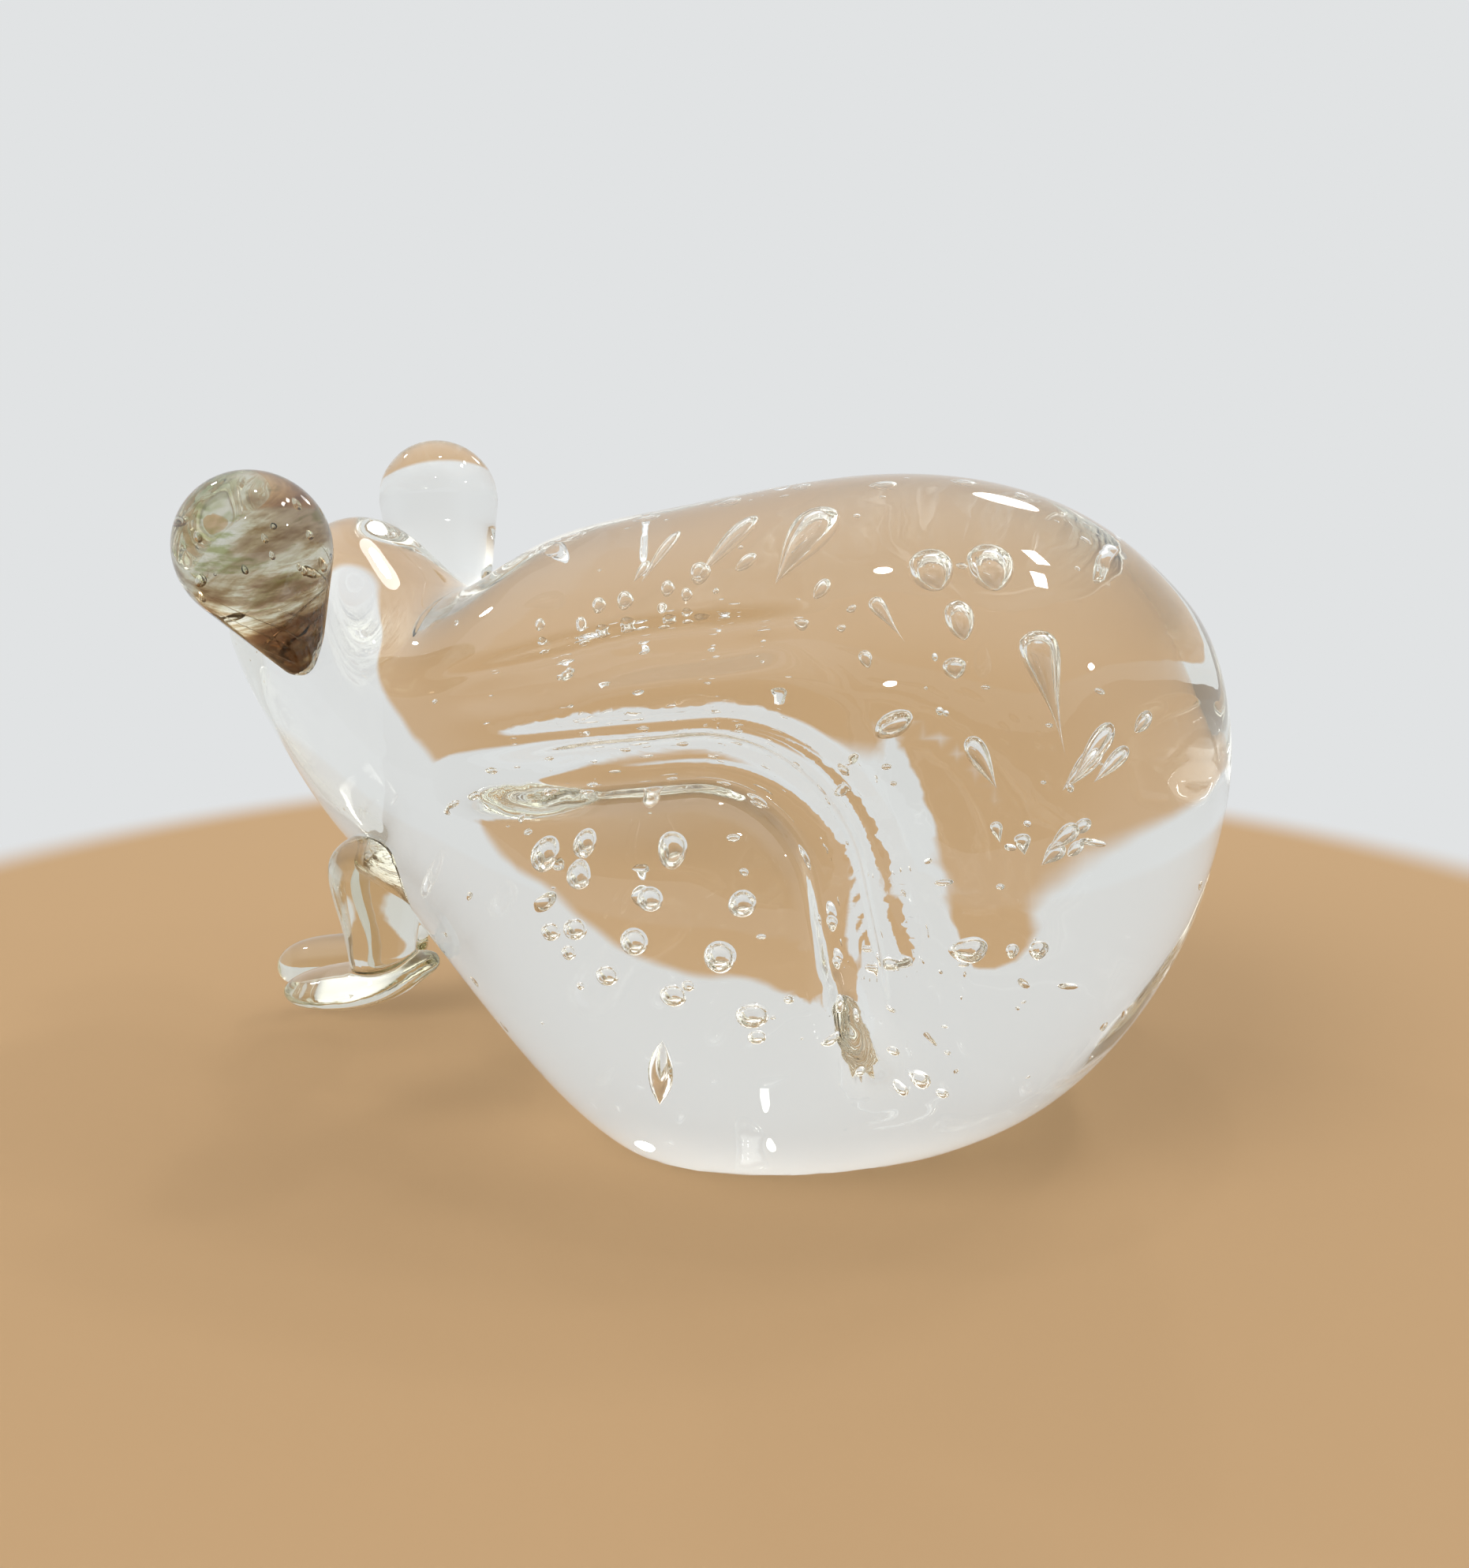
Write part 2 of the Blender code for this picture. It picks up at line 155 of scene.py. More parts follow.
# Cross sections of a tool's mark: distance from its middle, in mm, and share of its depth
BROAD = ((0, 1), (2, 0.92), (4, 0.64), (6, 0.3), (8, 0.08), (10, 0))
NARROW = ((0, 1), (1, 0.92), (1.9, 0.5), (2.7, 0.2), (3.6, 0.07), (4.6, 0))
SOFT = ((0, 1), (1.1, 0.97), (3.2, 0.42), (3.8, 0.32), (6, 0.12), (9, 0))
DRAG_LINE = ((0, 1), (0.45, 0.85), (1, 0.35), (1.5, 0.1), (2.1, 0))
# The creases: flank, section, depth, front end, knee and rear end as (place, height), radius round the
# knee. The near haunch was pressed broadly, then sharply under that, and the tool dragged two lines
# beside it. A soft fold with a drag line over it runs from the neck along the near shoulder. All were
# pressed in before the foot was ground, which left the frog rolled to its right.
CREASES = (
    (1, BROAD, 3, (-22.5, 43), (14.2, 47.8), (21, 12), 15),
    (1, NARROW, 2.4, (-26, 41.4), (12.6, 46.8), (19.4, 13), 13),
    (1, DRAG_LINE, 0.65, (-24, 43.2), (13.8, 48.6), (21, 17), 14),
    (1, DRAG_LINE, 0.65, (-27, 45.6), (16, 51), (24.5, 22), 16),
    (1, SOFT, 1.2, (-32, 47.5), (-4, 55), (14, 57.5), 60),
    (1, DRAG_LINE, 0.6, (-30, 50), (-4, 57), (14, 59), 60),
    (-1, SOFT, 1, (-31, 27), (25, 27), (23, 14), 6),
)
# Points along each part of a crease, and how many of them it runs out over at each end
CREASE_STEPS = 12
RUN_OUT = 9
# Faces below this size, in square mm, are fine enough to be pressed with a sharp tool; larger ones are
# cut this often, as far as this past the mark
FINE_FACE = 0.15
FINE_CUTS = 2
FINE_MARGIN = 0.4
# Marks that are soft enough for the body's own faces
WIDE_MARKS = (BROAD, SOFT)

# Bubbles trapped over the first gather, this deep under the skin
LAYER = 9.3
# The spiked mould's rows, in degrees up from level, its first spike's place and the distance between
# two. The rows above the shoulder hold more bubbles than the lower ones.
MOULD_ROWS = (-30, -12, 6, 24, 42, 60, 78)
MOULD_START = -19
MOULD_PITCH = 9
SHOULDER_ROW = 40
HIGH_COLUMNS = 6
LOW_COLUMNS = 4
# How deep the air under the near crease lies, and the number of fine seeds all through the body
CREASE_AIR_DEPTH = 6
BODY_SEEDS = 110
# Bubbles of the near flank, most of them below the crease, as (place, height, radius)
FLANK_BUBBLES = (
    (-12.8, 33.8, 1.35),
    (-8.9, 34.7, 1.1),
    (-9.2, 32.5, 1.05),
    (-0.3, 35.1, 1.25),
    (9.6, 34.3, 1.0),
    (-2.3, 31.3, 1.15),
    (5.9, 31.3, 1.15),
    (12.8, 29.2, 1.05),
    (-11.9, 27.1, 0.9),
    (-9.5, 27.7, 1.05),
    (-10.1, 25.3, 0.75),
    (-3.8, 27.2, 1.3),
    (4.2, 26.5, 1.5),
    (13.4, 25, 1.0),
    (-6.4, 23.6, 1.0),
    (-9, 22.1, 0.4),
    (-0.2, 22.4, 1.1),
    (1.2, 23.5, 0.55),
    (6.9, 20.9, 1.25),
    (7.3, 18.7, 0.75),
    (12.6, 20, 1.05),
    (6.3, 38.5, 1.1),
    (-2.7, 37.9, 1.0),
    (-14, 37.4, 0.9),
    (-10, 37.5, 1.0),
)
# Air above and behind the crease, drawn out as the body was: shape, round end and thin end as
# (sideways, place, height), and radius
DRAWN_BUBBLES = (
    ("drop", (4.2, 5.6, 60.4), (12, 0.4, 56.2), 1.2),
    ("drop", (4.8, 13, 61.4), (14, 8.2, 56.6), 2.3),
    ("drop", (5.6, -2.6, 59.6), (12.4, -5.6, 56), 0.75),
    ("egg", (10.3, 6.1, 58), (11.9, 4.2, 57), 0.7),
    ("egg", (14.2, 13.4, 57), (16, 12.2, 56), 0.75),
    ("drop", (8, -5.3, 56.3), (10.9, -6.5, 55.3), 0.6),
    ("egg", (11.7, 22, 59), (15.9, 23.4, 56.9), 2.1),
    ("egg", (9.7, 27.4, 59.1), (14.6, 28.4, 56.7), 2.2),
    ("egg", (16.8, 24.8, 56.1), (19.9, 25.7, 53.5), 1.4),
    ("egg", (21.3, 24.7, 52.2), (22.5, 25, 50.7), 1.1),
    ("tailed", (16.9, 31.7, 53.8), (21.1, 34.6, 43), 1.85),
    ("drop", (24.8, 26.2, 46.2), (25.6, 28.7, 41.9), 1),
    ("drop", (18, 38.3, 46.2), (22.4, 35.1, 41.9), 0.95),
    ("drop", (18.6, 37.3, 44.2), (22.8, 34.2, 41.2), 0.85),
    ("drop", (17.3, 39.6, 44), (20.9, 36.8, 41.6), 0.7),
    ("egg", (13.9, 41.5, 46.4), (16.1, 40.2, 45.1), 0.65),
    ("egg", (25.2, 19.4, 48.2), (25, 20.2, 46.2), 1.7),
    ("round", (26.5, 16, 45.4), (26.5, 17, 44.2), 1),
    ("drop", (22.9, 35.6, 38.2), (24.8, 33.1, 36.2), 0.8),
    ("drop", (23.5, 34.4, 36.6), (24.9, 32.6, 35), 0.8),
    ("egg", (21.9, 36.6, 38.4), (23.1, 35.2, 37.6), 0.6),
    ("egg", (22.4, 36, 36.6), (23.5, 34.8, 35.6), 0.55),
    ("drop", (25.6, 30.9, 37.9), (25.5, 31.2, 36), 0.75),
    ("drop", (26.3, 28.6, 39.1), (26.3, 29.1, 37.2), 0.55),
    ("egg", (27, 27, 28.9), (26.6, 27.1, 26.4), 1.2),
    ("egg", (24, 32.6, 28.1), (23.9, 32.4, 26.2), 0.9),
    ("egg", (25.4, 30.4, 28), (25.2, 30.2, 26.6), 0.6),
    ("egg", (28, 21.5, 27), (28, 21, 25.4), 1.1),
    ("drop", (28.2, 19.3, 25.6), (27.9, 19.6, 23.8), 0.85),
    ("egg", (22.8, 22.7, 14.4), (21.8, 22.7, 12.8), 0.95),
    ("round", (21.9, 20.7, 12.9), (21.7, 20.9, 11.9), 0.6),
    ("round", (21.2, 24.5, 12.9), (21, 24.3, 12), 0.55),
    ("egg", (29.5, 13.7, 30.3), (29.4, 13.9, 28.7), 0.9),
    ("egg", (28.8, 13.7, 25.9), (28.6, 13.9, 24.3), 0.85),
    ("egg", (26.7, 16.2, 19.3), (26.4, 16.3, 18.2), 0.6),
    ("leaf", (26.2, -1.4, 17.5), (21.7, -2.1, 10.1), 1.2),
    ("round", (22.5, 34.8, 41.9), (22.4, 35, 41), 0.35),
    ("tailed", (17.2, 17.4, 56.3), (20.2, 20.8, 52.6), 0.75),
    ("egg", (18.1, 15.5, 55.9), (18.3, 15.9, 55.3), 0.5),
    ("egg", (19, 11.3, 54.7), (19.3, 11.5, 53.8), 0.7),
    ("egg", (19.6, 14.8, 54.5), (19.8, 15, 53.8), 0.42),
    ("egg", (21.4, 16.8, 52.6), (22, 17.3, 51.2), 0.6),
    ("egg", (13.4, -16.2, 52.4), (13.6, -15.2, 52.5), 0.55),
    ("egg", (14.4, -12, 53), (14.6, -10.9, 53.1), 0.55),
    ("egg", (12.7, -10.6, 53.9), (12.9, -9.1, 54.1), 0.72),
    ("egg", (12.8, -8, 54.5), (13, -6.2, 54.6), 0.85),
    ("egg", (14.7, -3.6, 54.5), (14.9, -2.3, 54.6), 0.62),
    ("egg", (12.4, -3.4, 55.5), (12.6, -1.9, 55.6), 0.72),
    ("egg", (11.1, -0.5, 56.4), (11.3, 1.7, 56.7), 1.1),
    ("egg", (13.4, -1.2, 55.4), (13.6, 0, 55.5), 0.59),
)
# Shapes of trapped air: sides, rings, and how fast it thins towards its ends
BUBBLE_SHAPES = {
    "round": (16, 12, 0),
    "seed": (6, 5, 0),
    "egg": (14, 12, 0.45),
    "drop": (16, 14, 1.6),
    "tailed": (16, 18, 5),
    "leaf": (16, 14, 1),
}

# Points closer than this are made one where a spun bead and a thread of air close
BEAD_MERGE = 0.005
THREAD_MERGE = 0.0005

# Cords, the faint waves in the skin of hand-gathered glass, are 5 to 10 mm apart
CORD_SPACING = 7

# Camera: place, turn round the frog and tilt down in degrees, and the focal length in pixels of a
# frame this high, which a sensor of 36 mm takes in
CAMERA_PLACE = (163, 21.4, 75.7)
CAMERA_TURN = 97
CAMERA_DOWN = 13.8
FOCAL_PIXELS = 1850
FRAME_HEIGHT = 1988
SENSOR_HEIGHT = 36

# Tones of the plain backdrop, of the floor round the frog, and of what glass shows of its surroundings
# overhead and on the near side
BACKDROP = "#E1E3E4"
FLOOR_TONE = "#BE9D76"
OVERHEAD_TONE = "#EAEAE6"
NEAR_SIDE_TONE = "#8A7A66"
# How much brighter than the backdrop glass shows what is overhead
OVERHEAD_GLOW = 1.3
# The floor's own tone ends between these distances from the middle, and it lies this far below the frog
FLOOR_TONE_ENDS = (145, 165)
FLOOR_GAP = 0.15

# Small bright lights, seen as glints: shape, way out to them, width and height in m, and power in W. The
# first two hang side by side.
GLINTS_AWAY = 0.9
GLINTS = (
    ("RECTANGLE", (-0.39, 0.42, 0.82), 0.10, 0.05, 0.45),
    ("RECTANGLE", (-0.21, 0.48, 0.85), 0.10, 0.05, 0.45),
    ("ELLIPSE", (0.62, 0.1, 0.78), 0.04, 0.03, 0.16),
    ("ELLIPSE", (0.1, 0.8, 0.6), 0.04, 0.03, 0.16),
    ("ELLIPSE", (-0.84, 0.2, 0.5), 0.05, 0.05, 0.3),
    ("ELLIPSE", (-0.45, -0.62, 0.64), 0.05, 0.05, 0.25),
    ("ELLIPSE", (-0.1, 0, 1), 0.05, 0.05, 0.25),
)
# A wide soft light over the near side, and one behind that the edge of the back reflects: way out,
# width in m, power in W, and whether a gloss shows it
SOFT_LIGHTS_AWAY = 1.3
SOFT_LIGHTS = (
    ((0.55, -0.45, 0.75), 0.8, 5.6, False),
    ((-0.84, 0.2, 0.5), 0.18, 0.3, True),
)


def to_linear(channel):
    if channel <= 0.04045:
        return channel / 12.92
    return ((channel + 0.055) / 1.055) ** 2.4


def colour(code):
    """An sRGB hex code as a linear colour."""
    return (*(to_linear(int(code[at : at + 2], 16) / 255) for at in (1, 3, 5)), 1)


def add_node(tree, kind, settings=None, inputs=None):
    """Adds a node with its settings; an input is a value or the output that it is linked from."""
    node = tree.nodes.new(kind)
    for name, value in (settings or {}).items():
        setattr(node, name, value)
    for name, value in (inputs or {}).items():
        if isinstance(value, bpy.types.NodeSocket):
            tree.links.new(value, node.inputs[name])
        else:
            node.inputs[name].default_value = value
    return node


def empty_material(name):
    material = bpy.data.materials.new(name)
    material.use_nodes = True
    material.node_tree.nodes.clear()
    return material, material.node_tree


def hot_worked_glass(name, passes, density, cord_depth):
    """Soda-lime glass, fire-polished as it is worked: a gloss with faint cords, no grain.

    The tint sits in the thickness, so thin places look clear and thick ones olive. It is given as the
    colour that passes and its density per metre, and the depth of the cords in mm.
    """
    material, tree = empty_material(name)
    where = add_node(tree, "ShaderNodeTexCoord")
    cords = add_node(
        tree,
        "ShaderNodeTexNoise",
        {},
        {
            "Vector": where.outputs["Object"],
            "Scale": 1 / (CORD_SPACING * MM),
            "Detail": 1.5,
            "Roughness": 0.4,
        },
    )
    skin = add_node(
        tree,
        "ShaderNodeBump",
        {},
        {"Height": cords.outputs["Fac"], "Distance": cord_depth * MM, "Strength": 1},
    )
    glass = add_node(
        tree,
        "ShaderNodeBsdfPrincipled",
        {},
        {
            "Base Color": colour("#FFFFFF"),
            "Roughness": 0,
            "IOR": 1.52,
            "Transmission Weight": 1,
            "Normal": skin.outputs["Normal"],
        },
    )
    tint = add_node(
        tree,
        "ShaderNodeVolumeAbsorption",
        {},
        {"Color": colour(passes), "Density": density},
    )
    add_node(
        tree,
        "ShaderNodeOutputMaterial",
        {},
        {"Surface": glass.outputs["BSDF"], "Volume": tint.outputs["Volume"]},
    )
    return material


def new_object(name, data):
    made = bpy.data.objects.new(name, data)
    bpy.context.scene.collection.objects.link(made)
    return made


def line_object(name, spots):
    """A plain line from spot to spot."""
    line = bpy.data.meshes.new(name)
    line.from_pydata(spots, [(at, at + 1) for at in range(len(spots) - 1)], [])
    return new_object(name, line)


def select_only(obj):
    bpy.ops.object.select_all(action="DESELECT")
    obj.select_set(True)
    bpy.context.view_layer.objects.active = obj


def pick(obj, wanted):
    """In edit mode, selects the vertices that a test names, and nothing else."""
    bpy.ops.mesh.select_mode(type="VERT")
    bpy.ops.mesh.select_all(action="DESELECT")
    bm = bmesh.from_edit_mesh(obj.data)
    for vert in bm.verts:
        vert.select_set(bool(wanted(vert.co)))
    bm.select_flush_mode()
    bmesh.update_edit_mesh(obj.data)


def apply_modifier(obj, name):
    select_only(obj)
    bpy.ops.object.modifier_apply(modifier=name)


def smoothed(obj, levels):
    smooth = obj.modifiers.new("Smooth", "SUBSURF")
    smooth.levels = levels
    smooth.render_levels = levels
    apply_modifier(obj, smooth.name)


def round_disc(name, sides):
    """A disc of quads of radius 1: a square grid whose two squares of points are made round."""
    bpy.ops.object.select_all(action="DESELECT")
    bpy.ops.mesh.primitive_grid_add(x_subdivisions=sides, y_subdivisions=sides, size=2)
    disc = bpy.context.object
    disc.name = name
    disc.data.name = name
    bpy.ops.object.mode_set(mode="EDIT")
    step = 2 / sides
    for square in range(sides // 2):
        reach = 1 - square * step
        pick(disc, lambda co: abs(max(abs(co.x), abs(co.y)) - reach) < 0.2 * step)
        bpy.ops.transform.tosphere(value=1, center_override=(0, 0, 0))
        bm = bmesh.from_edit_mesh(disc.data)
        radius = next(vert.co.length for vert in bm.verts if vert.select)
        size = reach / radius
        bpy.ops.transform.resize(value=(size, size, 1), center_override=(0, 0, 0))
    bpy.ops.mesh.select_all(action="SELECT")
    return disc


def square_up(gob, middle, half_width, half_depth, squared):
    """Moves a ring's slanting points outward, the most at 45 degrees: it becomes a rounded square."""
    for slant, share in ((45, 1), (22.5, 0.5), (67.5, 0.5)):

        def on_ring(co):
            off = co - middle
            if abs(off.y) > 0.01 * MM:
                return False
            turn = math.degrees(math.atan2(abs(off.z) / half_depth, abs(off.x) / half_width))
            return abs(turn - slant) < 5

        pick(gob, on_ring)
        size = 1 + squared * share
        bpy.ops.transform.resize(value=(size, 1, size), center_override=middle)


def drawn_out(name, sides, downwards, rings, bulge, levels):
    """A gob drawn out from ring to ring, forward or downwards, then smoothed.

    A ring is (middle, half width, half depth) in metres, and how far it is squared up.
    """
    gob = round_disc(name, sides)
    turn = math.pi if downwards else math.pi / 2
    # In the background, rotate turns the other way
    bpy.ops.transform.rotate(value=-turn, orient_axis="X", center_override=(0, 0, 0))
    middle, half_width, half_depth = rings[0][:3]
    sizes = (half_width, half_depth, 1) if downwards else (half_width, 1, half_depth)
    bpy.ops.transform.resize(value=sizes, center_override=(0, 0, 0))
    bpy.ops.transform.translate(value=middle)
    for before, after in zip(rings, rings[1:]):
        bpy.ops.mesh.extrude_region_move(TRANSFORM_OT_translate={"value": after[0] - before[0]})
        wider = after[1] / before[1]
        deeper = after[2] / before[2]
        sizes = (wider, deeper, 1) if downwards else (wider, 1, deeper)
        bpy.ops.transform.resize(value=sizes, center_override=after[0])
    for middle, half_width, half_depth, squared in rings:
        if squared:
            square_up(gob, middle, half_width, half_depth, squared)
    forward = Vector((0, 0, -1)) if downwards else Vector((0, -1, 0))
    for (middle, half_width, half_depth, squared), way in ((rings[0], -forward), (rings[-1], forward)):
        for reach, share in ((0.75, 0.75), (0.25, 0.25)):

            def inside(co):
                off = co - middle
                deep = off.y if downwards else off.z
                near = math.hypot(off.x / half_width, deep / half_depth) < reach
                return near and abs(off.dot(forward)) < bulge * 0.9

            pick(gob, inside)
            bpy.ops.transform.translate(value=way * bulge * share)
    bpy.ops.mesh.select_all(action="SELECT")
    bpy.ops.mesh.normals_make_consistent(inside=False)
    bpy.ops.object.mode_set(mode="OBJECT")
    smoothed(gob, levels)
    bpy.ops.object.shade_smooth()
    return gob


def surface_of(obj):
    bm = bmesh.new()
    bm.from_mesh(obj.data)
    tree = BVHTree.FromBMesh(bm)
    bm.free()
    return tree


def crease_points(front, knee, end, knee_radius):
    """A crease in side view: front run, arc round the knee, rear run."""
    front, knee, end = Vector(front), Vector(knee), Vector(end)
    to_front = (front - knee).normalized()
    to_end = (end - knee).normalized()
    half_angle = to_front.angle(to_end) / 2
    setback = knee_radius / math.tan(half_angle)
    middle = knee + (to_front + to_end).normalized() * (knee_radius / math.sin(half_angle))
    first, last = knee + to_front * setback, knee + to_end * setback
    sweep = (first - middle).angle_signed(last - middle)
    steps = range(CREASE_STEPS)
    front_run = [front.lerp(first, step / CREASE_STEPS) for step in steps]
    arc = [middle + Matrix.Rotation(-sweep * step / CREASE_STEPS, 2) @ (first - middle) for step in steps]
    rear_run = [last.lerp(end, step / CREASE_STEPS) for step in range(CREASE_STEPS + 1)]
    return front_run + arc + rear_run


def crease_guide(skin, side, section, route):
    """A line on the skin of one flank, along its crease.

    It lifts off at both ends as far as the section says, so that the depth of the crease runs out there.
    """
    spots = []
    points = crease_points(*route)
    for index, point in enumerate(points):
        start = Vector((0, point.x * MM, point.y * MM))
        spot, normal = skin.ray_cast(start, Vector((side, 0, 0)))[:2]
        from_end = min(index, len(points) - 1 - index)
        missing = 0.5 + 0.5 * math.cos(math.pi * min(1, from_end / RUN_OUT))
        lift = np.interp(missing, [1 - share for _, share in section], [off for off, _ in section])
        spots.append(spot + normal * float(lift) * MM)
    return line_object("crease_guide", spots)


def refine_near(obj, guide, reach, softly):
    """Cuts the larger faces near a guide finer, so that what is pressed in there comes out crisp.

    Softly, the finer faces and those round them are smoothed as well.
    """
    spots = KDTree(len(guide.data.vertices))
    for index, vert in enumerate(guide.data.vertices):
        spots.insert(vert.co, index)
    spots.balance()
    select_only(obj)
    bpy.ops.object.mode_set(mode="EDIT")
    bpy.ops.mesh.select_mode(type="FACE")
    bpy.ops.mesh.select_all(action="DESELECT")
    bm = bmesh.from_edit_mesh(obj.data)
    for face in bm.faces:
        near = spots.find(face.calc_center_median())[2] < reach
        face.select_set(near and face.calc_area() > FINE_FACE * MM * MM)
    bmesh.update_edit_mesh(obj.data)
    bpy.ops.mesh.subdivide(number_cuts=FINE_CUTS, smoothness=1)
    if softly:
        bpy.ops.mesh.select_more()
        bpy.ops.mesh.select_more()
        bpy.ops.mesh.vertices_smooth(factor=0.5, repeat=8)
    bpy.ops.object.mode_set(mode="OBJECT")


def press_creases(body):
    """Presses a crease into each flank, with rounded shoulders and a rounded floor."""
    for side, section_shape, depth, *route in CREASES:
        reach = section_shape[-1][0]
        guide = crease_guide(surface_of(body), side, section_shape, route)
        if section_shape not in WIDE_MARKS:
            refine_near(body, guide, (reach + FINE_MARGIN) * MM, section_shape is not DRAG_LINE)
        group = body.vertex_groups.new(name="pressed")
        group.add(range(len(body.data.vertices)), 1, "REPLACE")
        near = body.modifiers.new("Near the tool", "VERTEX_WEIGHT_PROXIMITY")
        near.vertex_group = group.name
        near.target = guide
        near.proximity_mode = "GEOMETRY"
        near.proximity_geometry = {"EDGE"}
        near.min_dist = reach * MM
        near.max_dist = 0
        near.falloff_type = "CURVE"
        section = near.map_curve.curves[0]
        for off, share in section_shape[1:-1]:
            section.points.new(1 - off / reach, share)
        near.map_curve.update()
        press = body.modifiers.new("Press", "DISPLACE")
        press.direction = "NORMAL"
        press.mid_level = 0
        press.strength = -depth * MM
        press.vertex_group = group.name
        apply_modifier(body, near.name)
        apply_modifier(body, press.name)
        bpy.data.objects.remove(guide)
        body.vertex_groups.clear()


def grind_foot(body):
    """Grinds the foot flat and takes the sharp edge off it."""
    select_only(body)
    bpy.ops.object.mode_set(mode="EDIT")
    bpy.ops.mesh.select_all(action="SELECT")
    bpy.ops.mesh.bisect(plane_co=(0, 0, 0), plane_no=(0, 0, 1), use_fill=True, clear_inner=True)
    bpy.ops.mesh.select_mode(type="EDGE")
    bpy.ops.mesh.select_all(action="DESELECT")
    bm = bmesh.from_edit_mesh(body.data)
    for edge in bm.edges:
        flat = all(abs(vert.co.z) < 0.001 * MM for vert in edge.verts)
        edge.select_set(flat)
    bmesh.update_edit_mesh(body.data)
    bpy.ops.mesh.bevel(offset=FOOT_BEVEL * MM, segments=2, affect="EDGES")
    pick(body, lambda co: co.z < 0)
    bpy.ops.transform.resize(value=(1, 1, 0), center_override=(0, 0, 0))
    bpy.ops.object.mode_set(mode="OBJECT")
    bpy.ops.object.shade_smooth_by_angle(angle=math.radians(SMOOTH_BELOW))


def body_rings():
    rings = []
    for place, underside, back, half_width, squared in BODY_RINGS:
        middle = Vector((0, place, (underside + back) / 2)) * MM
        rings.append((middle, half_width * MM, (back - underside) / 2 * MM, squared))
    return rings


def copy_of(obj, name):
    made = obj.copy()
    made.data = obj.data.copy()
    made.name = name
    made.data.name = name
    bpy.context.scene.collection.objects.link(made)
    return made


def cut_seat(piece, head):
    """Cuts a piece to the skin that it was put on, so that the two are fused with no gap."""
    seat = piece.modifiers.new("Seat", "BOOLEAN")
    seat.object = head
    seat.operation = "DIFFERENCE"
    seat.solver = "EXACT"
    apply_modifier(piece, seat.name)


def eye(name, sizes, skin, seat):
    """A ball spun with its taper and the round end of its neck. Also gives its root and its axis."""
    radius, standoff, neck, off_skin, place, height, lean, rearward = sizes
    side = 1 if lean > 0 else -1
    start = Vector((0, place, height)) * MM
    root = skin.ray_cast(start, Vector((side, 0, 0)))[0] + Vector((side * off_skin * MM, 0, 0))
    lean, rearward = math.radians(lean), math.radians(rearward)
    axis = Vector((math.sin(lean), math.sin(rearward), math.cos(lean) * math.cos(rearward))).normalized()
    # The straight taper touches both the ball and the round end of the neck
    leaves = math.pi / 2 + math.asin((radius - neck) / standoff)
    profile = []
    for step in range(BALL_STEPS + 1):
        angle = leaves * step / BALL_STEPS
        profile.append((radius * math.sin(angle), radius * math.cos(angle)))
    taper_across = (neck - radius) * math.sin(leaves)
    taper_along = (neck - radius) * math.cos(leaves) - standoff
    for step in range(1, TAPER_STEPS + 1):
        across = radius * math.sin(leaves) + taper_across * step / TAPER_STEPS
        along = radius * math.cos(leaves) + taper_along * step / TAPER_STEPS
        profile.append((across, along))
    for step in range(1, NECK_STEPS + 1):
        angle = leaves + (math.pi - leaves) * step / NECK_STEPS
        profile.append((neck * math.sin(angle), neck * math.cos(angle) - standoff))
    bead = line_object(name, [(across * MM, 0, along * MM) for across, along in profile])
    select_only(bead)
    bpy.ops.object.mode_set(mode="EDIT")
    bpy.ops.mesh.select_all(action="SELECT")
    bpy.ops.mesh.spin(steps=EYE_SIDES, angle=2 * math.pi, center=(0, 0, 0), axis=(0, 0, 1))
    bpy.ops.mesh.select_all(action="SELECT")
    bpy.ops.mesh.remove_doubles(threshold=BEAD_MERGE * MM)
    bpy.ops.mesh.normals_make_consistent(inside=False)
    bpy.ops.object.mode_set(mode="OBJECT")
    bpy.ops.object.shade_smooth()
    leaning = axis.to_track_quat("Z", "Y").to_matrix().to_4x4()
    bead.matrix_world = Matrix.Translation(root + axis * standoff * MM) @ leaning
    bpy.ops.object.transform_apply(location=True, rotation=True, scale=True)
    cut_seat(bead, seat)
    return bead, root, axis


def leg_rings(root, rows):
    return [(root + Vector(row[:3]) * MM, row[3] * MM, row[4] * MM, 0) for row in rows]


def foreleg(name, place, shank_rows, foot_rows, skin, seat):
    """A shank drawn down from the chest and a foot pinched flat, melted into one."""
    start = Vector((place[0], 0, place[1])) * MM
    root = skin.ray_cast(start, Vector((0, -1, 0)))[0]
    bulge = LEG_END_BULGE * MM
    leg = drawn_out(name, LEG_SIDES, True, leg_rings(root, shank_rows), bulge, LEG_LEVELS)
    foot = drawn_out(name + "_foot", LEG_SIDES, False, leg_rings(root, foot_rows), bulge, LEG_LEVELS)
    melt = leg.modifiers.new("Melt", "BOOLEAN")
    melt.object = foot
    melt.operation = "UNION"
    melt.solver = "EXACT"
    apply_modifier(leg, melt.name)
    bpy.data.objects.remove(foot)
    even = leg.modifiers.new("Even", "REMESH")
    even.mode = "VOXEL"
    even.voxel_size = LEG_GRAIN * MM
    apply_modifier(leg, even.name)
    relax = leg.modifiers.new("Relax", "SMOOTH")
    relax.factor = 0.5
    relax.iterations = LEG_RELAXED
    apply_modifier(leg, relax.name)
    cut_seat(leg, seat)
    bpy.ops.object.shade_smooth()
    return leg


